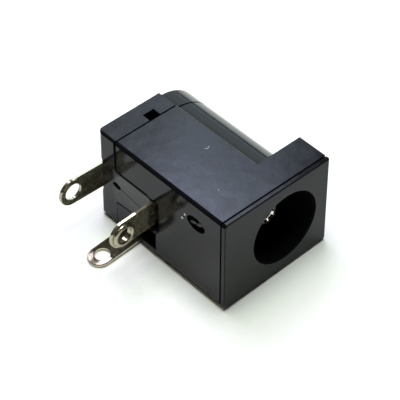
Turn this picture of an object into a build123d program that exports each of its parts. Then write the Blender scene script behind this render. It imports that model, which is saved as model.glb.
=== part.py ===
from build123d import *
from math import radians, tan
import os

os.makedirs("parts", exist_ok=True)

# DC barrel jack with three flat terminals, in mm.
# The origin is the centre of the socket mouth. +Y runs along the bore into the body,
# the board face looks toward -X, the arched back toward +X, and +Z is up as the jack lies on its side.

# Outer sizes of the moulded body
WIDTH = 8.8
HEIGHT = 11.0
LENGTH = 14.5
AXIS_HEIGHT = 6.4
FLANGE_DEPTH = 3.3
COVER_THICKNESS = 2.0
ARCH_STEP = 0.35

# Socket: sized for a plug with a 5.5 mm sleeve
BORE_RADIUS = 3.2
BOSS_LENGTH = 2.5
MOUTH_CHAMFER = 0.15

# Centre pin, held between its collar and its riveted head
PIN_RADIUS = 1.0
PIN_SETBACK = 1.9
PIN_TIP_CHAMFER = 0.12
PIN_DISH_RADIUS = 0.62
PIN_DISH_DEPTH = 0.12
COLLAR_RADIUS = 1.4
COLLAR_LENGTH = 1.2
SHANK_RADIUS = 0.8
HEAD_RADIUS = 1.35
HEAD_HEIGHT = 0.2

# Terminals: flat strips with round tips and wire holes
STRIP = 0.3
LUG_WIDTH = 2.5
LUG_REACH = 4.3
HOLE_TO_TIP = 1.27
TERMINAL_PITCH = 6.0
TERMINAL_SHIFT = -0.2
PIN_LUG_HOLE_RADIUS = 0.75
PIN_LUG_LEAN = 1.8
PIN_LUG_EYE_RADIUS = 1.7
SLEEVE_LUG_HOLE_RADIUS = 0.65
SLEEVE_LUG_LEAN = -2.5
RIM_WIDTH = 0.42
RIM_HEIGHT = 0.22
SWITCH_LUG_TO_SEAM = 1.65
SWITCH_LUG_WIDTH = 2.0
SWITCH_LUG_HOLE_RADIUS = 0.65
SWITCH_LUG_DROP = 0.07
SWITCH_LUG_SLOPE = 4.7
LUG_EDGE = 0.05

# Leaf spring at the inner end of the sleeve contact
BOARD_WALL = 1.0
LEAF_FOLD_Y = 2.6
LEAF_FOLD_HEIGHT = 0.8
LEAF_CREST_SHARE = 0.5
LEAF_CREST_RADIUS = 2.6
LEAF_CREST_BEND = 1.6
LEAF_END_LENGTH = 1.4
CONTACT_X = -4.05

# Openings for the contacts
SLOT_LEAD = 0.64
SLOT_HALF_WIDTH = 1.55
POCKET_HALF_WIDTH = 1.35
NOTCH_LEAD = 3.0
NOTCH_BACK = 0.15
NOTCH_WALL = 0.7
CHANNEL_DEPTH = 0.4
CHANNEL_HALF_WIDTH = 1.65
CHANNEL_FLARE = 0.3
TONGUE_TAPER = 0.35
TONGUE_GAP = 0.14
TONGUE_CORNER = 0.45

# Snap of the rear cover
WINDOW_X = -2.15
WINDOW_HEIGHT = 1.13
WINDOW_LENGTH = 0.9
WINDOW_DEPTH = 0.9

# Edges of the mouldings
LONG_EDGE = 0.22
FAR_EDGE = 0.35
REAR_EDGE = 0.45
SEAM_EDGE = 0.05
SEAM_GAP = 0.08
SEAM_DEPTH = 0.15
SEAM_ROUND = 0.2
FRONT_EDGE = 0.1
BAND_DEPTH = 0.38
BAND_DRAFT = 2.5
GROOVE_WIDTH = 0.14
GROOVE_DEPTH = 0.1

# Moulding marks: the broken gate on the board face and two marks on the tongue
GATE_Y = 3.2
GATE_Z = 2.35
GATE_LENGTH = 2.0
GATE_HEIGHT = 1.3
GATE_DEPTH = 0.3
GATE_LEAN = 4.0
BURR_RADIUS = 0.13
MARK_LENGTH = 0.95
MARK_HEIGHT = 0.6
MARK_DEPTH = 0.15
LINE_LENGTH = 2.3
LINE_WIDTH = 0.07
LINE_DEPTH = 0.04

# Named clearances
FIT = 0.05
FREE = 0.1

# Positions that follow from the sizes above
BOARD_X = -AXIS_HEIGHT
TOP_X = HEIGHT - AXIS_HEIGHT
SIDE_Z = WIDTH / 2
ARCH_RADIUS = SIDE_Z - ARCH_STEP
SWITCH_LUG_OFFSET = SIDE_Z + SWITCH_LUG_DROP
SEAM_Y = LENGTH - COVER_THICKNESS
FLOOR_X = BOARD_X + BOARD_WALL
CHANNEL_Y = LENGTH - CHANNEL_DEPTH
BORE_DEPTH = SEAM_Y - BOSS_LENGTH
HOLE_REACH = LUG_REACH - HOLE_TO_TIP
SLEEVE_LUG_Y = CHANNEL_Y - TERMINAL_PITCH
SWITCH_LUG_Y = SEAM_Y - SWITCH_LUG_TO_SEAM
SLOT_Y = SLEEVE_LUG_Y - SLOT_LEAD
SLOT_LOW_Z = TERMINAL_SHIFT - SLOT_HALF_WIDTH
SLOT_HIGH_Z = TERMINAL_SHIFT + SLOT_HALF_WIDTH
SWITCH_FALL = tan(radians(SWITCH_LUG_SLOPE))


def along_y(outline, start, end):
    """A prism along Y of an outline drawn in X and Z."""
    return extrude(Plane.XZ.offset(-start) * outline, -(end - start))


def rod(radius, start, end):
    """A round rod on the bore axis."""
    return along_y(Circle(radius), start, end)


def block(x0, x1, y0, y1, z0, z1):
    """A box between two corners."""
    middle = Pos((x0 + x1) / 2, (y0 + y1) / 2, (z0 + z1) / 2)
    return middle * Box(x1 - x0, y1 - y0, z1 - z0)


def body_outline(inset=0.0):
    """Outline behind the flange: flat sides toward the board, a round arch over the bore."""
    flats = Pos(BOARD_X / 2, 0) * Rectangle(AXIS_HEIGHT, WIDTH)
    flats = fillet(flats.vertices().group_by(Axis.X)[0], LONG_EDGE)
    outline = flats + Circle(ARCH_RADIUS)
    if inset:
        outline = offset(outline, -inset)
    return outline


def flange_outline(inset=0.0):
    """Outline of the square front flange; only its lower far corner is well rounded."""
    middle = Pos((BOARD_X + TOP_X) / 2, 0)
    outline = middle * Rectangle(HEIGHT - 2 * inset, WIDTH - 2 * inset)
    outline = fillet(outline.vertices().group_by(Axis.X)[0], LONG_EDGE)
    low_far = outline.vertices().group_by(Axis.X)[-1].sort_by(Axis.Y)[0]
    return fillet(low_far, FAR_EDGE)


def blade(width, hole_radius, inner):
    """Face of a flat terminal: root on the board face at x = 0, round tip toward -X."""
    straight = LUG_REACH - width / 2
    face = Pos((inner - straight) / 2, 0) * Rectangle(straight + inner, width)
    face += Pos(-straight, 0) * Circle(width / 2)
    face -= Pos(-HOLE_REACH, 0) * Circle(hole_radius)
    return face


def soften(plate, kept_radius=0.0):
    """Break the punched edges of a flat plate lying in X and Z, but not round a hole of the kept radius."""
    edges = plate.faces().filter_by(Axis.Y).edges()
    round_edges = edges.filter_by(GeomType.CIRCLE)
    kept = round_edges.filter_by(lambda edge: abs(edge.radius - kept_radius) < FIT / 2)
    return chamfer(edges - kept, LUG_EDGE)


def on_board_face(sketch, depth):
    """A shape sunk from the board face, drawn in Y and Z."""
    return extrude(Plane.YZ.offset(BOARD_X) * sketch, depth)


# Housing: flange with its parting band, and the arched body up to the seam
band_end = BAND_DEPTH + GROOVE_WIDTH
band = extrude(Plane.XZ.offset(-BAND_DEPTH) * flange_outline(), BAND_DEPTH, taper=BAND_DRAFT)
band = fillet(band.edges().group_by(Axis.Y)[0], FRONT_EDGE)
groove_floor = along_y(flange_outline(GROOVE_DEPTH), BAND_DEPTH, band_end)
flange = band + groove_floor + along_y(flange_outline(), band_end, FLANGE_DEPTH)
housing = flange + along_y(body_outline(), FLANGE_DEPTH, SEAM_Y - SEAM_EDGE)
housing += loft([
    Plane.XZ.offset(-(SEAM_Y - SEAM_EDGE)) * body_outline(),
    Plane.XZ.offset(-SEAM_Y) * body_outline(SEAM_EDGE),
])

# Socket bore with a broken mouth edge
housing -= rod(BORE_RADIUS, 0, SEAM_Y)
mouth = Plane.XZ.offset(-MOUTH_CHAMFER) * Circle(BORE_RADIUS)
housing -= extrude(mouth, MOUTH_CHAMFER, taper=-45)

# Pocket under the bore for the leaf spring, open to the rear
pocket_front = LEAF_FOLD_Y - STRIP - FREE
pocket_low = TERMINAL_SHIFT - POCKET_HALF_WIDTH
pocket_high = TERMINAL_SHIFT + POCKET_HALF_WIDTH
housing -= block(FLOOR_X, 0, pocket_front, SEAM_Y, pocket_low, pocket_high)

# Slot in the board wall for the sleeve terminal and the tongue of the cover
slot_face = Polyline(
    (SLOT_Y, SLOT_HIGH_Z),
    (SEAM_Y, SLOT_HIGH_Z),
    (SEAM_Y, SLOT_LOW_Z - TONGUE_TAPER),
    (SLOT_Y, SLOT_LOW_Z),
    close=True,
)
slot = extrude(Plane.YZ.offset(BOARD_X) * make_face(slot_face), BOARD_WALL)
housing -= slot

# Notch at the lower board edge for the bend of the switch contact
switch_low = SWITCH_LUG_Y - SWITCH_LUG_WIDTH / 2
switch_high = SWITCH_LUG_Y + SWITCH_LUG_WIDTH / 2
notch_z = pocket_low - NOTCH_WALL
notch_x = CONTACT_X + STRIP + FREE
notch_y = SWITCH_LUG_Y - NOTCH_LEAD
notch_end = SWITCH_LUG_Y - NOTCH_BACK
housing -= block(BOARD_X, notch_x, notch_y, notch_end, -SIDE_Z, notch_z)

# Recess along the lower side for the rest of its strip, with room for the bend
strip_top = -SWITCH_LUG_OFFSET + (CONTACT_X - BOARD_X) * SWITCH_FALL + STRIP / 2
recess_z = strip_top + FREE
recess_end = switch_high + FIT
housing -= block(BOARD_X, notch_x, switch_low, recess_end, -SIDE_Z, recess_z)
housing -= block(CONTACT_X - STRIP, notch_x, switch_low, recess_end, -SIDE_Z, recess_z + STRIP)

# Tunnel for the switch arm from the lower side into the pocket
tunnel_x = CONTACT_X - FIT
tunnel_end = CONTACT_X + STRIP + FIT
housing -= block(tunnel_x, tunnel_end, switch_low - FIT, recess_end, -SIDE_Z, pocket_low)

# Torn gate on the board face: an oval pit with two ridges left standing in it
gate = Pos(GATE_Y, GATE_Z) * Rot(0, 0, GATE_LEAN)
housing -= on_board_face(gate * Ellipse(GATE_LENGTH / 2, GATE_HEIGHT / 2), GATE_DEPTH)
for shift, turn in ((0.17, -25.0), (-0.17, -40.0)):
    ridge = Pos(shift * GATE_LENGTH, -shift * GATE_HEIGHT / 2) * Rot(0, 0, turn)
    ridge *= Ellipse(GATE_LENGTH / 5, GATE_HEIGHT / 9)
    housing += extrude(Plane.YZ.offset(BOARD_X + GATE_DEPTH) * gate * ridge, -GATE_DEPTH * 0.7)
for shift, rise in ((0.6, 0.1), (0.73, -0.35)):
    burr = Pos(shift * GATE_LENGTH, rise * GATE_HEIGHT) * Circle(BURR_RADIUS)
    housing += extrude(Plane.YZ.offset(BOARD_X) * gate * burr, -BURR_RADIUS / 2, taper=30)

# Snap nibs that reach into the windows of the cover
nib_outer = SIDE_Z - WINDOW_DEPTH
for side in (1, -1):
    nib = block(
        WINDOW_X - WINDOW_HEIGHT / 2 + FREE,
        WINDOW_X + WINDOW_HEIGHT / 2 - FREE,
        SEAM_Y - FREE,
        SEAM_Y + WINDOW_LENGTH - FREE,
        nib_outer - STRIP,
        nib_outer,
    )
    housing += nib if side > 0 else mirror(nib, about=Plane.XY)

# Rear cover: end plate with a rounded rear board edge
plate = along_y(body_outline(), SEAM_Y + SEAM_GAP, LENGTH)
plate += along_y(body_outline(SEAM_DEPTH), SEAM_Y, SEAM_Y + SEAM_GAP)
side_view = Pos((BOARD_X + TOP_X) / 2, (SEAM_Y + LENGTH) / 2) * Rectangle(HEIGHT, COVER_THICKNESS)
rear_corner = side_view.vertices().group_by(Axis.X)[0].sort_by(Axis.Y)[-1]
side_view = fillet(rear_corner, REAR_EDGE)
plate &= extrude(Plane.XY.offset(-SIDE_Z) * side_view, WIDTH)

# Rounded board edge at the seam, above the tongue
seam_round = block(BOARD_X, BOARD_X + SEAM_ROUND, SEAM_Y, SEAM_Y + SEAM_ROUND, SLOT_HIGH_Z, SIDE_Z)
seam_round -= Pos(BOARD_X + SEAM_ROUND, SEAM_Y + SEAM_ROUND) * Cylinder(SEAM_ROUND, WIDTH)
plate -= seam_round

# Below the tongue the cover meets the housing without a groove
closed_end = BOARD_X + 2 * SEAM_DEPTH
plate += block(BOARD_X, closed_end, SEAM_Y, SEAM_Y + SEAM_GAP, LONG_EDGE - SIDE_Z, SLOT_LOW_Z)

# Flared channel and round seat for the pin terminal
channel_low = TERMINAL_SHIFT - CHANNEL_HALF_WIDTH
channel_high = TERMINAL_SHIFT + CHANNEL_HALF_WIDTH
channel_face = Polyline(
    (CHANNEL_Y, channel_low),
    (LENGTH, channel_low - CHANNEL_FLARE),
    (LENGTH, channel_high + CHANNEL_FLARE),
    (CHANNEL_Y, channel_high),
    close=True,
)
channel = on_board_face(make_face(channel_face), AXIS_HEIGHT)
channel += rod(PIN_LUG_EYE_RADIUS + FREE, CHANNEL_Y, LENGTH)
rear_cover = plate - channel

# Boss that closes the bore and holds the collar of the pin
collar_end = BORE_DEPTH + COLLAR_LENGTH
rear_cover += rod(BORE_RADIUS - FIT, BORE_DEPTH, SEAM_Y)
rear_cover -= rod(COLLAR_RADIUS + FIT, BORE_DEPTH, collar_end)
rear_cover -= rod(SHANK_RADIUS + FIT, collar_end, LENGTH)

# Tongue that fills the slot behind the sleeve terminal
tongue_y = SLEEVE_LUG_Y + STRIP
slot_run = SEAM_Y - SLOT_Y
tongue_low = SLOT_LOW_Z - TONGUE_TAPER * (tongue_y - SLOT_Y) / slot_run
tongue_high = SLOT_HIGH_Z - TONGUE_GAP
tongue_face = Polyline(
    (tongue_y, tongue_high),
    (SEAM_Y + SEAM_GAP, tongue_high),
    (SEAM_Y + SEAM_GAP, SLOT_LOW_Z - TONGUE_TAPER + TONGUE_GAP),
    (tongue_y, tongue_low + TONGUE_GAP),
    close=True,
)
tongue_face = make_face(tongue_face)
tongue_corner = tongue_face.vertices().group_by(Axis.X)[0].sort_by(Axis.Y)[-1]
tongue_face = fillet(tongue_corner, TONGUE_CORNER)
rear_cover += on_board_face(tongue_face, BOARD_WALL - FIT)

# Drop-shaped mark and fine line on the tongue
mark = Pos(SEAM_Y - FREE, TERMINAL_SHIFT) * Rot(0, 0, GATE_LEAN)
rear_cover -= on_board_face(mark * Ellipse(MARK_LENGTH / 2, MARK_HEIGHT / 2), MARK_DEPTH)
line = Pos(SEAM_Y - FREE - (MARK_LENGTH + LINE_LENGTH) / 2, 2 * TERMINAL_SHIFT) * Rot(0, 0, 2 * GATE_LEAN)
rear_cover -= on_board_face(line * Rectangle(LINE_LENGTH, LINE_WIDTH), LINE_DEPTH)

# Windows for the snap nibs in both flat sides
window = block(
    WINDOW_X - WINDOW_HEIGHT / 2,
    WINDOW_X + WINDOW_HEIGHT / 2,
    SEAM_Y,
    SEAM_Y + WINDOW_LENGTH,
    nib_outer - STRIP - FREE,
    SIDE_Z,
)
rear_cover -= window
rear_cover -= mirror(window, about=Plane.XY)

# Centre pin: chamfered and dished tip, collar, shank and riveted head
terminal_end = CHANNEL_Y + STRIP
centre_pin = rod(PIN_RADIUS, PIN_SETBACK, BORE_DEPTH)
tip_edge = centre_pin.edges().group_by(Axis.Y)[0]
centre_pin = chamfer(tip_edge, PIN_TIP_CHAMFER)
dish = Plane.XZ.offset(-PIN_SETBACK - PIN_DISH_DEPTH) * Circle(PIN_DISH_RADIUS - PIN_DISH_DEPTH)
centre_pin -= extrude(dish, PIN_DISH_DEPTH, taper=-45)
centre_pin += rod(COLLAR_RADIUS, BORE_DEPTH, collar_end)
centre_pin += rod(SHANK_RADIUS, collar_end, terminal_end)
head = rod(HEAD_RADIUS, terminal_end, terminal_end + HEAD_HEIGHT)
head = fillet(head.edges().group_by(Axis.Y)[-1], HEAD_HEIGHT / 2)
centre_pin += head

# Pin terminal: blade in the channel with a round eye under the rivet
pin_blade = blade(LUG_WIDTH, PIN_LUG_HOLE_RADIUS, AXIS_HEIGHT)
pin_blade = Pos(BOARD_X, TERMINAL_SHIFT) * Rot(0, 0, -PIN_LUG_LEAN) * pin_blade
pin_face = pin_blade + Circle(PIN_LUG_EYE_RADIUS) - Circle(SHANK_RADIUS + FIT)
pin_terminal = soften(along_y(pin_face, CHANNEL_Y, terminal_end))

# Sleeve contact: leaning blade with a raised rim round its wire hole
root = Pos(BOARD_X, TERMINAL_SHIFT)
lean = Rot(0, 0, -SLEEVE_LUG_LEAN)
sleeve_face = root * lean * blade(LUG_WIDTH, SLEEVE_LUG_HOLE_RADIUS, BOARD_WALL / 2)
sleeve_blade = soften(along_y(sleeve_face, SLEEVE_LUG_Y, tongue_y), SLEEVE_LUG_HOLE_RADIUS)
rim_face = Circle(SLEEVE_LUG_HOLE_RADIUS + RIM_WIDTH) - Circle(SLEEVE_LUG_HOLE_RADIUS)
rim_face = root * lean * Pos(-HOLE_REACH, 0) * rim_face
rim = along_y(rim_face, SLEEVE_LUG_Y - RIM_HEIGHT, SLEEVE_LUG_Y)
rim = fillet(rim.edges().group_by(Axis.Y)[0], RIM_WIDTH * 0.4)

# Leaf spring: forward along the board wall, folded back, up to a crest and down to the switch arm
run_x = FLOOR_X + STRIP / 2
fold_x = run_x + LEAF_FOLD_HEIGHT
crest_x = -LEAF_CREST_RADIUS - STRIP / 2
leaf_end_x = CONTACT_X - STRIP / 2
leaf_end_y = switch_low - STRIP
crest_y = LEAF_FOLD_Y + (leaf_end_y - LEAF_FOLD_Y) * LEAF_CREST_SHARE
blade_y = SLEEVE_LUG_Y + STRIP / 2
leaf_path = FilletPolyline(
    (BOARD_X, blade_y),
    (run_x, blade_y),
    (run_x, LEAF_FOLD_Y),
    (fold_x, LEAF_FOLD_Y),
    (crest_x, crest_y),
    (leaf_end_x, leaf_end_y),
    (leaf_end_x, leaf_end_y + LEAF_END_LENGTH),
    radius=[STRIP * 1.2, STRIP * 1.25, STRIP * 1.25, LEAF_CREST_BEND, STRIP * 2],
)
leaf_low = TERMINAL_SHIFT - LUG_WIDTH / 2
leaf = extrude(Plane.XY.offset(leaf_low) * trace(leaf_path, STRIP), LUG_WIDTH)
sleeve_contact = leaf + sleeve_blade + rim

# Switch contact: blade down the lower side, arm bent inward over the end of the leaf
arm_x = CONTACT_X + STRIP / 2
switch_path = FilletPolyline(
    (BOARD_X - LUG_REACH, -SWITCH_LUG_OFFSET - LUG_REACH * SWITCH_FALL),
    (arm_x, -SWITCH_LUG_OFFSET + (arm_x - BOARD_X) * SWITCH_FALL),
    (arm_x, pocket_high - FREE),
    radius=[STRIP * 1.3],
)
switch_strip = along_y(trace(switch_path, STRIP), switch_low, switch_high)
switch_face = blade(SWITCH_LUG_WIDTH, SWITCH_LUG_HOLE_RADIUS, AXIS_HEIGHT)
switch_plan = Pos(0, SWITCH_LUG_Y) * extrude(Plane.XY.offset(-WIDTH) * switch_face, 2 * WIDTH)
tilted = Pos(BOARD_X, 0, -SWITCH_LUG_OFFSET) * Rot(0, -SWITCH_LUG_SLOPE, 0) * switch_plan
switch_contact = switch_strip & tilted

# Broken edges on both flat faces of the switch blade, but not on its fold lines
fold_end = 2 * STRIP * SWITCH_LUG_WIDTH
level = switch_contact.faces().filter_by(lambda face: abs(face.normal_at().Z) > 0.9)
blade_edges = level.filter_by(lambda face: face.area > fold_end).edges()
switch_contact = chamfer(blade_edges - blade_edges.filter_by(Axis.Y), LUG_EDGE)

nodes = {
    "housing": housing,
    "rear_cover": rear_cover,
    "centre_pin": centre_pin,
    "pin_terminal": pin_terminal,
    "sleeve_contact": sleeve_contact,
    "switch_contact": switch_contact,
}
for name, shape in nodes.items():
    export_step(shape, f"parts/{name}.step")
    box = shape.bounding_box()
    print(name, len(shape.solids()), round(shape.volume, 3), box.min, box.max)
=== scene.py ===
# %% [markdown]
# # A DC barrel jack, dressed for a close product photograph
# The CAD model already holds every moulded and stamped shape. This lesson loads it, puts the camera where
# the photograph was taken, gives each piece its real material, and lights it on a white table.

import math

import bpy
from mathutils import Matrix, Quaternion, Vector


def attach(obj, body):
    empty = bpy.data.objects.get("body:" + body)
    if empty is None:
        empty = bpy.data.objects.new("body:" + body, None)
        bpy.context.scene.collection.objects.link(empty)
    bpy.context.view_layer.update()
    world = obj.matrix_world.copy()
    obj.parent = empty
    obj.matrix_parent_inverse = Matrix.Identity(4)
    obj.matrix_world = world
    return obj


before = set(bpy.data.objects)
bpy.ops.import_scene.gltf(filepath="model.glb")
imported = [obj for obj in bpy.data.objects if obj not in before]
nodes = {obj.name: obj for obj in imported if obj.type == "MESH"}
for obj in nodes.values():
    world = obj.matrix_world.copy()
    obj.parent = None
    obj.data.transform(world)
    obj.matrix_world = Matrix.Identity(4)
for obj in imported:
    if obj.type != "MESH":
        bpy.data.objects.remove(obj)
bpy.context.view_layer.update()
print("nodes:", sorted(nodes))

# %% [markdown]
# ## Units
# Blender works in metres and the jack is 15 mm long, so sizes are written in millimetres and turned here.

# %% Millimetres and scene
MM = 0.001
scene = bpy.context.scene
scene.view_settings.view_transform = "Standard"


def mm(*values):
    """A point given in millimetres, in metres."""
    return Vector(values) * MM


# %% [markdown]
# ## The camera
# The photograph is a close shot with a long lens from above the board side. The edges of the flange and
# the body converge only a little, which gives a long focal length and a camera about 157 mm away.

# %% Camera at the photograph's place
CAMERA_PLACE = mm(-78.2994, -75.0525, 109.6901)
CAMERA_AIM = mm(-2.4033, 7.0740, -0.5357)
CAMERA_ROLL = math.radians(0.173)
LENS_MM = 180.05

camera_data = bpy.data.cameras.new("photo_camera")
camera_data.lens = LENS_MM
camera_data.sensor_width = 36
camera_data.clip_start = 0.01
camera_data.clip_end = 10
camera = bpy.data.objects.new("photo_camera", camera_data)
scene.collection.objects.link(camera)
aim = (CAMERA_AIM - CAMERA_PLACE).to_track_quat("-Z", "Y")
camera.matrix_world = (
    Matrix.Translation(CAMERA_PLACE)
    @ aim.to_matrix().to_4x4()
    @ Matrix.Rotation(CAMERA_ROLL, 4, "Z")
)
scene.camera = camera
print("camera distance in mm:", round((CAMERA_AIM - CAMERA_PLACE).length / MM, 1))

# %% [markdown]
# ## Colours and nodes
# Colours are written as sRGB hex values, and Blender wants linear light, so one
# function turns them. Two more add a shader node with its settings and links, and start an empty
# material.

# %% Three small helpers


def linear(hex_colour):
    """An sRGB hex colour as linear RGBA."""
    parts = [int(hex_colour[i:i + 2], 16) / 255 for i in (1, 3, 5)]
    return (*[c / 12.92 if c <= 0.04045 else ((c + 0.055) / 1.055) ** 2.4 for c in parts], 1)


def add(tree, kind, settings=None, **inputs):
    """A node of one kind. settings are its own fields; inputs go by input name, or by number as i0, i6."""
    node = tree.nodes.new(kind)
    for field, value in (settings or {}).items():
        setattr(node, field, value)
    for name, value in inputs.items():
        socket = node.inputs[int(name[1:])] if name[1:].isdigit() else node.inputs[name.replace("_", " ")]
        if isinstance(value, bpy.types.NodeSocket):
            tree.links.new(value, socket)
        else:
            socket.default_value = value
    return node


def new_material(name):
    """An empty node material with its tree and output."""
    material = bpy.data.materials.new(name)
    material.use_nodes = True
    tree = material.node_tree
    tree.nodes.clear()
    return material, tree, tree.nodes.new("ShaderNodeOutputMaterial")


# %% [markdown]
# ## Moulded black plastic
# The body is a glass-filled polyester such as PBT, injection moulded in a polished steel tool. It is
# black all through and mirrors its surroundings, but the mirror is slightly broken: flow of the melt
# leaves soft waves about a millimetre across, and the short glass fibres just under the skin leave a fine
# grain. The fibres are really about 0.01 mm thick, too fine to show here, so the grain is drawn
# at 0.12 mm. PBT has an IOR near 1.5. The photograph was taken with strong contrast, so its darks need a
# weaker mirror.

# %% Moulded black PBT
PBT_BLACK = "#0b0b0d"
PBT_WORN = "#131315"
PBT_IOR = 1.24
PBT_ROUGHNESS = 0.11
WAVE_MM = 1.1
FIBRE_MM = 0.12
SPECK_GREY = "#303234"


def moulded_pbt(name, black, worn, roughness):
    """Black moulded polyester with soft waves, a fine grain and a slightly uneven black."""
    material, tree, output = new_material(name)
    place = add(tree, "ShaderNodeTexCoord").outputs["Object"]
    waves = add(tree, "ShaderNodeTexNoise", Vector=place, Scale=1 / (WAVE_MM * MM), Detail=2.5, Roughness=0.5)
    fibres = add(tree, "ShaderNodeTexNoise", Vector=place, Scale=1 / (FIBRE_MM * MM), Detail=2.0)
    uneven = add(tree, "ShaderNodeMix", {"data_type": "RGBA"}, i0=waves.outputs["Fac"],
                 i6=linear(black), i7=linear(worn))
    specks = add(tree, "ShaderNodeMapRange", Value=fibres.outputs["Fac"], From_Min=0.62, From_Max=0.78,
                 To_Min=0.0, To_Max=0.4)
    colour = add(tree, "ShaderNodeMix", {"data_type": "RGBA"}, i0=specks.outputs["Result"],
                 i6=uneven.outputs[2], i7=linear(SPECK_GREY))
    gloss = add(tree, "ShaderNodeMapRange", Value=waves.outputs["Fac"], From_Min=0.3, From_Max=0.7,
                To_Min=roughness - 0.02, To_Max=roughness + 0.04)
    grain = add(tree, "ShaderNodeBump", Height=fibres.outputs["Fac"], Strength=0.05, Distance=0.02 * MM)
    skin = add(tree, "ShaderNodeBump", Height=waves.outputs["Fac"], Strength=0.06, Distance=0.1 * MM,
               Normal=grain.outputs["Normal"])
    shader = add(tree, "ShaderNodeBsdfPrincipled", Base_Color=colour.outputs[2], IOR=PBT_IOR,
                 Roughness=gloss.outputs["Result"], Normal=skin.outputs["Normal"])
    tree.links.new(shader.outputs["BSDF"], output.inputs["Surface"])
    return material, tree, shader, place, colour.outputs[2]


housing_pbt, housing_tree, housing_shader, housing_place, housing_black = moulded_pbt(
    "moulded_pbt_housing", PBT_BLACK, PBT_WORN, PBT_ROUGHNESS)
cover_pbt, cover_tree, cover_shader, cover_place, cover_black = moulded_pbt(
    "moulded_pbt_cover", PBT_BLACK, PBT_WORN, PBT_ROUGHNESS + 0.01)
print("plastics:", housing_pbt.name, cover_pbt.name)

# %% [markdown]
# ## Joints and edges that stay black
# Body and cover meet at rounded edges, the tongue has a gap above it, the flange has a groove behind its
# front band, the mouth has a broken edge, and the long edge beside the terminals is rounded. The shade that
# falls in there is painted shade: the mirror is switched off in a narrow band round each, so the band stays
# black. Bands are drawn by distance from the real joint, so they follow the part from every side.

# %% Shadow in the joints
SEAM_MM = 12.5
SEAM_HALF_MM = 0.09
SEAM_BOARD_HALF_MM = 0.16
SEAM_BOARD_MM = -6.3
TONGUE_TOP_MM = 1.35
TONGUE_GAP_MM = 1.32
TONGUE_GAP_HALF_MM = 0.19
TONGUE_START_MM = 8.7
EDGE_SUM_MM = 10.8
HOUSING_EDGE_BAND_MM = 0.28
COVER_EDGE_BAND_MM = 0.2
MOUTH_BAND_MM = 3.37
FLANGE_GROOVE_MM = 0.45
FLANGE_GROOVE_HALF_MM = 0.11
JOINT_SOFT_MM = 0.04
# The arithmetic that measures the distances, one step to a node
LESS, MORE = {"operation": "LESS_THAN"}, {"operation": "GREATER_THAN"}
PLUS, MINUS, TIMES = {"operation": "ADD"}, {"operation": "SUBTRACT"}, {"operation": "MULTIPLY"}
SIZE = {"operation": "ABSOLUTE"}


def shade_joints(tree, shader, place, edge_band, mouth_band):
    """Painted shade: no mirror near the seam, above the tongue, in the flange groove, on the board edge and in
    the mouth.
    """
    at = add(tree, "ShaderNodeSeparateXYZ", Vector=place).outputs
    on_board = add(tree, "ShaderNodeMath", LESS, i0=at["X"], i1=SEAM_BOARD_MM * MM).outputs[0]
    above = add(tree, "ShaderNodeMath", MORE, i0=at["Z"], i1=TONGUE_TOP_MM * MM).outputs[0]
    board_half = add(tree, "ShaderNodeMath", TIMES, i0=above, i1=SEAM_BOARD_HALF_MM * MM).outputs[0]
    half = add(tree, "ShaderNodeMapRange", Value=on_board, To_Min=SEAM_HALF_MM * MM, To_Max=board_half)
    seam_step = add(tree, "ShaderNodeMath", MINUS, i0=at["Y"], i1=SEAM_MM * MM).outputs[0]
    from_seam = add(tree, "ShaderNodeMath", SIZE, i0=seam_step).outputs[0]
    off_seam = add(tree, "ShaderNodeMath", MINUS, i0=from_seam, i1=half.outputs["Result"]).outputs[0]

    gap_step = add(tree, "ShaderNodeMath", MINUS, i0=at["Z"], i1=TONGUE_GAP_MM * MM).outputs[0]
    from_gap = add(tree, "ShaderNodeMath", SIZE, i0=gap_step).outputs[0]
    in_front = add(tree, "ShaderNodeMath", LESS, i0=at["Y"], i1=SEAM_MM * MM).outputs[0]
    past_start = add(tree, "ShaderNodeMath", MORE, i0=at["Y"], i1=TONGUE_START_MM * MM).outputs[0]
    beside = add(tree, "ShaderNodeMath", TIMES, i0=in_front, i1=past_start).outputs[0]
    at_tongue = add(tree, "ShaderNodeMath", TIMES, i0=beside, i1=on_board).outputs[0]
    elsewhere = add(tree, "ShaderNodeMath", MINUS, i0=1.0, i1=at_tongue).outputs[0]
    past_gap = add(tree, "ShaderNodeMath", MINUS, i0=from_gap, i1=TONGUE_GAP_HALF_MM * MM).outputs[0]
    off_gap = add(tree, "ShaderNodeMath", PLUS, i0=past_gap, i1=elsewhere).outputs[0]

    groove_step = add(tree, "ShaderNodeMath", MINUS, i0=at["Y"], i1=FLANGE_GROOVE_MM * MM).outputs[0]
    from_groove = add(tree, "ShaderNodeMath", SIZE, i0=groove_step).outputs[0]
    off_groove = add(tree, "ShaderNodeMath", MINUS, i0=from_groove, i1=FLANGE_GROOVE_HALF_MM * MM).outputs[0]

    inward = add(tree, "ShaderNodeMath", MINUS, i0=at["X"], i1=at["Z"]).outputs[0]
    off_edge = add(tree, "ShaderNodeMath", PLUS, i0=inward, i1=(EDGE_SUM_MM - edge_band) * MM).outputs[0]

    flat = add(tree, "ShaderNodeCombineXYZ", X=at["X"], Z=at["Z"])
    from_axis = add(tree, "ShaderNodeVectorMath", {"operation": "LENGTH"}, i0=flat.outputs["Vector"])
    past_mouth = from_axis.outputs["Value"]
    off_mouth = add(tree, "ShaderNodeMath", MINUS, i0=past_mouth, i1=mouth_band * MM).outputs[0]

    nearest = off_seam
    for other in (off_gap, off_groove, off_edge, off_mouth):
        nearest = add(tree, "ShaderNodeMath", {"operation": "MINIMUM"}, i0=nearest, i1=other).outputs[0]
    # Painted shade: inside each band the mirror is switched off, so the band renders dark.
    mirror = add(tree, "ShaderNodeMapRange", Value=nearest, From_Min=-JOINT_SOFT_MM * MM, From_Max=0.0,
                 To_Min=0.0, To_Max=0.5)
    tree.links.new(mirror.outputs["Result"], shader.inputs["Specular IOR Level"])


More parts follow.
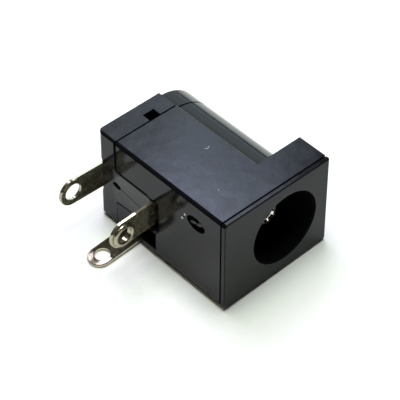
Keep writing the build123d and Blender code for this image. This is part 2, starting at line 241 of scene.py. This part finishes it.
shade_joints(housing_tree, housing_shader, housing_place, HOUSING_EDGE_BAND_MM, MOUTH_BAND_MM)
shade_joints(cover_tree, cover_shader, cover_place, COVER_EDGE_BAND_MM, 0.0)
print("joint shaded at y", SEAM_MM, "mm")

# %% [markdown]
# ## Painted sheen on the tongue
# The tongue of the cover is painted greyer than the rest, most of all near its upper edge. The grey is a
# painted reflection: it stands in for the brighter light that the tongue mirrors.

# %% Painted sheen on the tongue
TONGUE_SHEEN_GREY = "#585b5b"
TONGUE_FADE_MM = -3.2

skin_at = add(cover_tree, "ShaderNodeSeparateXYZ", Vector=cover_place).outputs
fade = add(cover_tree, "ShaderNodeMapRange", Value=skin_at["Z"], From_Min=TONGUE_FADE_MM * MM,
           From_Max=TONGUE_TOP_MM * MM, To_Min=0.0, To_Max=1.0)
low_part = add(cover_tree, "ShaderNodeMapRange", Value=skin_at["Y"], From_Min=SEAM_MM * MM,
               From_Max=(SEAM_MM + 0.5) * MM, To_Min=1.0, To_Max=0.0)
board_face = add(cover_tree, "ShaderNodeMath", LESS, i0=skin_at["X"], i1=SEAM_BOARD_MM * MM).outputs[0]
below_top = add(cover_tree, "ShaderNodeMath", LESS, i0=skin_at["Z"], i1=TONGUE_TOP_MM * MM).outputs[0]
outside = add(cover_tree, "ShaderNodeMath", TIMES, i0=below_top, i1=board_face).outputs[0]
on_tongue = add(cover_tree, "ShaderNodeMath", TIMES, i0=outside, i1=low_part.outputs["Result"]).outputs[0]
sheen_share = add(cover_tree, "ShaderNodeMath", TIMES, i0=on_tongue, i1=fade.outputs["Result"]).outputs[0]
# Painted reflection: the lighter grey stands in for light the tongue mirrors, strongest near its top.
tongue_sheen = add(cover_tree, "ShaderNodeMix", {"data_type": "RGBA"}, i0=sheen_share, i6=cover_black,
                  i7=linear(TONGUE_SHEEN_GREY))
cover_tree.links.new(tongue_sheen.outputs[2], cover_shader.inputs["Base Color"])
print("tongue skin fades out at z", TONGUE_FADE_MM, "mm")

# %% [markdown]
# ## Whitened marks
# Where the gate was torn off, two burrs stand beside it, and stressed black plastic turns whitish. The
# flat side that faces up has one nick under a tenth of a millimetre and one hook-shaped scratch about a
# third of a millimetre across.

# %% Burr and scratch colour
MARK_PALE = "#d5d8d2"
PALE_MARKS = [(mm(-6.45, 4.39, 2.56), 0.14), (mm(-6.45, 4.69, 2.0), 0.14), (mm(-4.06, 3.25, 4.4), 0.038)]
HOOK_CENTRE = mm(-1.5, 7.35, 4.4)
HOOK_RADIUS_MM = 0.18
HOOK_LINE_MM = 0.03
HOOK_PALE = "#9a9fa2"

marked = housing_black
for mark_place, mark_mm in PALE_MARKS:
    away = add(housing_tree, "ShaderNodeVectorMath", {"operation": "DISTANCE"}, i0=housing_place,
               i1=mark_place)
    share = add(housing_tree, "ShaderNodeMapRange", Value=away.outputs["Value"], From_Min=mark_mm * 0.6 * MM,
                From_Max=mark_mm * MM, To_Min=1.0, To_Max=0.0)
    marked = add(housing_tree, "ShaderNodeMix", {"data_type": "RGBA"}, i0=share.outputs["Result"], i6=marked,
                 i7=linear(MARK_PALE)).outputs[2]
away = add(housing_tree, "ShaderNodeVectorMath", {"operation": "DISTANCE"}, i0=housing_place, i1=HOOK_CENTRE)
ring = add(housing_tree, "ShaderNodeMath", {"operation": "SUBTRACT"}, i0=away.outputs["Value"],
           i1=HOOK_RADIUS_MM * MM)
off_ring = add(housing_tree, "ShaderNodeMath", {"operation": "ABSOLUTE"}, i0=ring.outputs[0])
on_line = add(housing_tree, "ShaderNodeMapRange", Value=off_ring.outputs[0], From_Min=0.01 * MM,
              From_Max=HOOK_LINE_MM * MM, To_Min=1.0, To_Max=0.0)
depth = add(housing_tree, "ShaderNodeSeparateXYZ", Vector=housing_place)
near_half = add(housing_tree, "ShaderNodeMath", {"operation": "LESS_THAN"}, i0=depth.outputs["Y"],
                i1=HOOK_CENTRE.y)
hook = add(housing_tree, "ShaderNodeMath", {"operation": "MULTIPLY"}, i0=on_line.outputs["Result"],
           i1=near_half.outputs[0])
marked = add(housing_tree, "ShaderNodeMix", {"data_type": "RGBA"}, i0=hook.outputs[0], i6=marked,
             i7=linear(HOOK_PALE)).outputs[2]
housing_tree.links.new(marked, housing_shader.inputs["Base Color"])
print("pale marks:", len(PALE_MARKS) + 1)

# %% [markdown]
# ## Nickel-plated brass
# The terminals are stamped from rolled brass and plated with bright nickel, a slightly warm mirror.
# Rolling leaves faint lines along the strip, and handling leaves a thin olive haze with small specks,
# which is all that one sees where the strip mirrors a dark part of the room.

# %% Stamped strip and turned pin
NICKEL = "#bdb9a6"
NICKEL_DULL = "#a19c82"
TIP_LENGTH_MM = 1.5
TIP_SLOPE = 0.045
SWITCH_HAZE = 0.05
SWITCH_TIP_MM = -9.2
# The pin's nickel is painted lighter than the strip's: a painted highlight for the bright light on its tip.
PIN_NICKEL_LIT = "#ece9e2"
PIN_NICKEL_DULL_LIT = "#d2cdc0"
STRIP_ROUGHNESS = 0.08
PIN_ROUGHNESS = 0.06
HAZE_ROUGHNESS = 0.55
STRIP_HAZE = 0.31
PIN_HAZE = 0.04
ROLLING_MM = 0.05
LINE_STRETCH = 12.0
PATCH_MM = 0.5


def plated_brass(name, colour, dull_colour, roughness, haze_share, line_axis, tip_mm=None):
    """Nickel-plated brass: a mirror with fine lines along one axis, under a thin uneven haze."""
    material, tree, output = new_material(name)
    place = add(tree, "ShaderNodeTexCoord").outputs["Object"]
    stretch = [1.0 if axis == line_axis else LINE_STRETCH for axis in "XYZ"]
    along = add(tree, "ShaderNodeMapping", Vector=place, Scale=stretch)
    lines = add(tree, "ShaderNodeTexNoise", Vector=along.outputs["Vector"],
                Scale=1 / (ROLLING_MM * LINE_STRETCH * MM), Detail=3.0)
    patches = add(tree, "ShaderNodeTexNoise", Vector=place, Scale=1 / (PATCH_MM * MM), Detail=5.0,
                  Roughness=0.65)
    tone = add(tree, "ShaderNodeMix", {"data_type": "RGBA"}, i0=patches.outputs["Fac"], i6=linear(colour),
               i7=linear(dull_colour))
    gloss = add(tree, "ShaderNodeMapRange", Value=patches.outputs["Fac"], From_Min=0.3, From_Max=0.7,
                To_Min=roughness - 0.02, To_Max=roughness + 0.05)
    skin = add(tree, "ShaderNodeBump", Height=lines.outputs["Fac"], Strength=0.08, Distance=0.01 * MM)
    if tip_mm is not None:  # past this place the tip mirrors as if it were pressed down
        reach = add(tree, "ShaderNodeSeparateXYZ", Vector=place).outputs["X"]
        fall = add(tree, "ShaderNodeMapRange", Value=reach, From_Min=tip_mm * MM,
                   From_Max=(tip_mm - TIP_LENGTH_MM) * MM, To_Min=0.0, To_Max=-1.0)
        pressed = add(tree, "ShaderNodeBump", Height=fall.outputs["Result"], Strength=1.0,
                      Distance=TIP_LENGTH_MM * TIP_SLOPE * MM)
        tree.links.new(pressed.outputs["Normal"], skin.inputs["Normal"])
    mirror = add(tree, "ShaderNodeBsdfPrincipled", Base_Color=tone.outputs[2], Metallic=1.0,
                 Roughness=gloss.outputs["Result"], Normal=skin.outputs["Normal"])
    haze = add(tree, "ShaderNodeBsdfPrincipled", Base_Color=linear(dull_colour), Metallic=1.0,
               Roughness=HAZE_ROUGHNESS, Normal=skin.outputs["Normal"])
    share = add(tree, "ShaderNodeMapRange", Value=patches.outputs["Fac"], From_Min=0.35, From_Max=0.7,
                To_Min=haze_share * 0.8, To_Max=haze_share * 1.25)
    both = add(tree, "ShaderNodeMixShader", i0=share.outputs["Result"], i1=mirror.outputs["BSDF"],
               i2=haze.outputs["BSDF"])
    tree.links.new(both.outputs["Shader"], output.inputs["Surface"])
    return material


strip_nickel = plated_brass("nickel_plated_strip", NICKEL, NICKEL_DULL, STRIP_ROUGHNESS, STRIP_HAZE, "X")
switch_nickel = plated_brass("nickel_plated_switch_strip", NICKEL, NICKEL_DULL, STRIP_ROUGHNESS, SWITCH_HAZE,
                             "X", SWITCH_TIP_MM)
pin_nickel = plated_brass("nickel_plated_pin", PIN_NICKEL_LIT, PIN_NICKEL_DULL_LIT, PIN_ROUGHNESS, PIN_HAZE, "Y")
print("metals:", strip_nickel.name, switch_nickel.name, pin_nickel.name)

# %% [markdown]
# ## One finish for each piece
# Body and cover come from two tools, so each has its own black. The pin is turned from rod and the two
# plain contacts are stamped from one strip. The switch contact has a tip that the stamping tool presses
# down a bit.

# %% Give each node its material
FINISHES = {
    "housing": housing_pbt,
    "rear_cover": cover_pbt,
    "centre_pin": pin_nickel,
    "pin_terminal": strip_nickel,
    "sleeve_contact": strip_nickel,
    "switch_contact": switch_nickel,
}
for name, material in FINISHES.items():
    mesh = nodes[name].data
    mesh.materials.clear()
    mesh.materials.append(material)
    print(name, "->", material.name, len(mesh.polygons), "faces")

# %% [markdown]
# ## Two details, with painted light
# The arch stands a little below the flat side, and their shared edge catches light as a hair-thin bright
# line: a witness line of the mould, about 0.07 mm wide. It is a thin ridge along that edge and round the
# flange, and its grey colour is a painted highlight that helps the line show bright. Under the middle
# terminal a thin black wall closes the notch in the board side from below, up to the switch strip: a dark
# sheet that stands in for the deep shade there.

# %% Ridge and shade wall
RIDGE_LINE = [mm(-0.01, 12.4, 4.395), mm(-0.01, 3.3, 4.395), mm(1.5, 3.3, 4.395)]
RIDGE_RADIUS_MM = 0.035
RIDGE_SIDES = 8
# Painted highlight: the ridge's grey stands in for the bright line its edge catches.
RIDGE_LIT_GREY = "#474b4e"
RIDGE_LIT_PALE = "#606569"
SHADE_WALL_LOW = mm(-6.39, 7.86, -4.39)
SHADE_WALL_HIGH = mm(-3.66, 9.83, -4.0)


def stand_piece(name, corners, faces, material):
    """A mesh piece that rides with the body."""
    mesh = bpy.data.meshes.new(name)
    mesh.from_pydata(corners, [], faces)
    mesh.update()
    mesh.materials.append(material)
    piece = bpy.data.objects.new(name, mesh)
    scene.collection.objects.link(piece)
    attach(piece, "root")
    print(name, len(mesh.polygons), "faces")
    return piece


ridge_pbt = moulded_pbt("moulded_pbt_ridge", RIDGE_LIT_GREY, RIDGE_LIT_PALE, PBT_ROUGHNESS + 0.1)[0]
ridge_corners, ridge_faces = [], []
for index, point in enumerate(RIDGE_LINE):
    ahead = (RIDGE_LINE[min(index + 1, 2)] - RIDGE_LINE[max(index - 1, 0)]).normalized()
    across = ahead.cross(Vector((0, 0, 1)))
    for side in range(RIDGE_SIDES):
        angle = 2 * math.pi * side / RIDGE_SIDES
        offset = across * math.cos(angle) + Vector((0, 0, math.sin(angle)))
        ridge_corners.append(point + offset * RIDGE_RADIUS_MM * MM)
for index in range(2):
    for side in range(RIDGE_SIDES):
        first, second = index * RIDGE_SIDES + side, index * RIDGE_SIDES + (side + 1) % RIDGE_SIDES
        ridge_faces.append((first, second, second + RIDGE_SIDES, first + RIDGE_SIDES))
stand_piece("housing_witness_line", ridge_corners, ridge_faces, ridge_pbt)

# Painted shade: this black wall is a dark sheet put where the notch shows only deep shade.
shade_wall_outline = ((SHADE_WALL_LOW.x, SHADE_WALL_LOW.y), (SHADE_WALL_HIGH.x, SHADE_WALL_LOW.y), (SHADE_WALL_HIGH.x, SHADE_WALL_HIGH.y),
                (SHADE_WALL_LOW.x, SHADE_WALL_HIGH.y))
shade_wall_corners = [Vector((x, y, z)) for z in (SHADE_WALL_LOW.z, SHADE_WALL_HIGH.z) for x, y in shade_wall_outline]
shade_wall_faces = [(3, 2, 1, 0), (4, 5, 6, 7), (0, 1, 5, 4), (1, 2, 6, 5), (2, 3, 7, 6), (3, 0, 4, 7)]
stand_piece("notch_shade_wall", shade_wall_corners, shade_wall_faces, housing_pbt)

# %% [markdown]
# ## The table
# The jack lies on its side, but the switch terminal sticks out below that side. So it rests on three
# points: the tip of that terminal, the far rear corner of the flange and the far edge of the rear cover.
# The table is the plane through those three, a little tilted against the body.

# %% Floor through the three resting points
REST_POINTS = [mm(-10.5, 10.85, -4.97), mm(4.25, 3.3, -4.4), mm(0.0, 14.4, -4.4)]
FLOOR_REACH = 0.6
FLOOR_GAP_MM = 0.005
FLOOR_WHITE = "#f9f9f9"
FLOOR_PALE = "#f5f5f5"
PAPER_MM = 0.8

floor_normal = (REST_POINTS[1] - REST_POINTS[0]).cross(REST_POINTS[2] - REST_POINTS[0]).normalized()
floor_turn = Vector((0, 0, 1)).rotation_difference(floor_normal)
floor_mesh = bpy.data.meshes.new("table_top")
corners = [(-1, -1, 0), (1, -1, 0), (1, 1, 0), (-1, 1, 0)]
floor_mesh.from_pydata([Vector(c) * FLOOR_REACH for c in corners], [], [(0, 1, 2, 3)])
floor = bpy.data.objects.new("table_top", floor_mesh)
scene.collection.objects.link(floor)
floor.rotation_mode = "QUATERNION"
floor.rotation_quaternion = floor_turn
floor.location = REST_POINTS[0] - floor_normal * FLOOR_GAP_MM * MM
floor_material, tree, output = new_material("white_table")
place = add(tree, "ShaderNodeTexCoord").outputs["Object"]
fibre = add(tree, "ShaderNodeTexNoise", Vector=place, Scale=1 / (PAPER_MM * MM), Detail=3.0)
paper = add(tree, "ShaderNodeMix", {"data_type": "RGBA"}, i0=fibre.outputs["Fac"], i6=linear(FLOOR_WHITE),
            i7=linear(FLOOR_PALE))
matt = add(tree, "ShaderNodeMapRange", Value=fibre.outputs["Fac"], To_Min=0.3, To_Max=0.6)
tooth = add(tree, "ShaderNodeBump", Height=fibre.outputs["Fac"], Strength=0.05, Distance=0.02 * MM)
floor_shader = add(tree, "ShaderNodeBsdfDiffuse", Color=paper.outputs[2], Roughness=matt.outputs["Result"],
                   Normal=tooth.outputs["Normal"])
tree.links.new(floor_shader.outputs["BSDF"], output.inputs["Surface"])
floor_mesh.materials.append(floor_material)
print("floor tilt in degrees:", round(math.degrees(floor_normal.angle(Vector((0, 0, 1)))), 2))

# %% [markdown]
# ## Light
# The photograph has no hard shadows, so wide soft lamps from above make a pool of light that whitens the
# table. The flat side that faces up mirrors only one small spot of the room, so a narrow bluish key
# stands exactly there, with weaker lamps round it that give its soft edge. A tall strip of light is what
# the rounded back mirrors. The upper edge of the middle lug tapers a little and mirrors a spot of its
# own, where a very small lamp draws its white line. Every lamp stands half a metre away. It is given by
# its compass angle, its height angle and how wide and tall it looks from the jack, all in degrees. A tall
# of 0 makes it round.

# %% Lamps
LAMP_AWAY = 0.5
LAMPS = {
    "overhead": {"turn": 0, "height": 90, "wide": 30, "tall": 0, "brightness": 12.3, "tint": "#f6fff5"},
    "far_high": {"turn": 80, "height": 65, "wide": 26, "tall": 0, "brightness": 8.9, "tint": "#eee3ff"},
    "rear_high": {"turn": 146, "height": 64, "wide": 32, "tall": 0, "brightness": 1.25, "tint": "#fffdd9"},
    "key": {"turn": 46.5, "height": 49, "wide": 9, "tall": 0, "brightness": 7.5, "tint": "#dfecff"},
    "key_low": {"turn": 46.5, "height": 43, "wide": 5, "tall": 0, "brightness": 4.45, "tint": "#d3e2ff"},
    "key_side": {"turn": 50, "height": 46, "wide": 4, "tall": 0, "brightness": 8.89, "tint": "#cbd6ff"},
    "key_rear": {"turn": 52, "height": 41, "wide": 8, "tall": 0, "brightness": 2.83, "tint": "#e1f1ff"},
    "lug_edge": {"turn": 54, "height": 48, "wide": 4.6, "tall": 0, "brightness": 14.0, "tint": "#fffffa"},
    "mouth": {"turn": -55, "height": 32, "wide": 10, "tall": 0, "brightness": 4.0, "tint": "#fffdf6"},
    "arch_strip": {"turn": 40, "height": 23, "wide": 16, "tall": 36, "brightness": 1.65, "tint": "#dff4ff"},
    "arch_strip_top": {"turn": 43, "height": 31, "wide": 16, "tall": 22, "brightness": 0.6, "tint": "#f5ffe9"},
}
STRIP_LEAN = -14


def looks_wide(degrees):
    """Real width in metres of something that looks this wide from the jack."""
    return 2 * LAMP_AWAY * math.tan(math.radians(degrees / 2))


def soft_lamp(name, turn, height, wide, tall, brightness, tint):
    """A lamp that faces the jack. brightness 1 makes its face look like white paper."""
    data = bpy.data.lights.new(name, "AREA")
    data.shape = "RECTANGLE" if tall else "DISK"
    data.size = looks_wide(wide)
    if tall:
        data.size_y = looks_wide(tall)
    face = data.size * data.size_y if tall else math.pi * data.size ** 2 / 4
    data.energy = brightness * math.pi * face
    data.color = linear(tint)[:3]
    lamp = bpy.data.objects.new(name, data)
    scene.collection.objects.link(lamp)
    turn, height = math.radians(turn), math.radians(height)
    lamp.location = LAMP_AWAY * Vector(
        (math.cos(turn) * math.cos(height), math.sin(turn) * math.cos(height), math.sin(height)))
    lamp.rotation_mode = "QUATERNION"
    lean = Quaternion((0, 0, 1), math.radians(STRIP_LEAN if tall else 0))
    lamp.rotation_quaternion = (-lamp.location).to_track_quat("-Z", "Y") @ lean
    print(name, "lamp,", round(data.size * 1000), "mm wide,", round(data.energy, 2), "W")


for lamp_name, lamp_values in LAMPS.items():
    soft_lamp(lamp_name, **lamp_values)

# %% [markdown]
# ## The table behind the jack
# At its far outline the rounded back mirrors the table behind it and fades into white, so that part of
# the table is brighter than paper white. A spot lights it there and leaves the jack itself alone.

# %% Spot on the table behind
SPOT_PLACE = mm(48, 48, 450)
SPOT_AIM = mm(48, 48, -5)
SPOT_SIZE = 14
SPOT_WATTS = 11.0
SPOT_TINT = "#ecfff4"

spot_data = bpy.data.lights.new("table_spot", "SPOT")
spot_data.spot_size = math.radians(SPOT_SIZE)
spot_data.spot_blend = 1.0
spot_data.shadow_soft_size = 0.02
spot_data.energy = SPOT_WATTS
spot_data.color = linear(SPOT_TINT)[:3]
spot = bpy.data.objects.new("table_spot", spot_data)
scene.collection.objects.link(spot)
spot.location = SPOT_PLACE
spot.rotation_mode = "QUATERNION"
spot.rotation_quaternion = (SPOT_AIM - SPOT_PLACE).to_track_quat("-Z", "Y")
print("spot on the table behind:", SPOT_WATTS, "W")

# %% [markdown]
# ## The room behind the lamps
# The camera never sees past the table, but the back of the body does. The studio behind the lamps is
# dark, which is what keeps black plastic black.

# %% Dark studio
world = bpy.data.worlds.new("dark_studio")
scene.world = world
world.use_nodes = True
tree = world.node_tree
tree.nodes.clear()
studio = add(tree, "ShaderNodeBackground", Color=linear("#0a0a0b"), Strength=1.0)
world_output = tree.nodes.new("ShaderNodeOutputWorld")
tree.links.new(studio.outputs["Background"], world_output.inputs["Surface"])
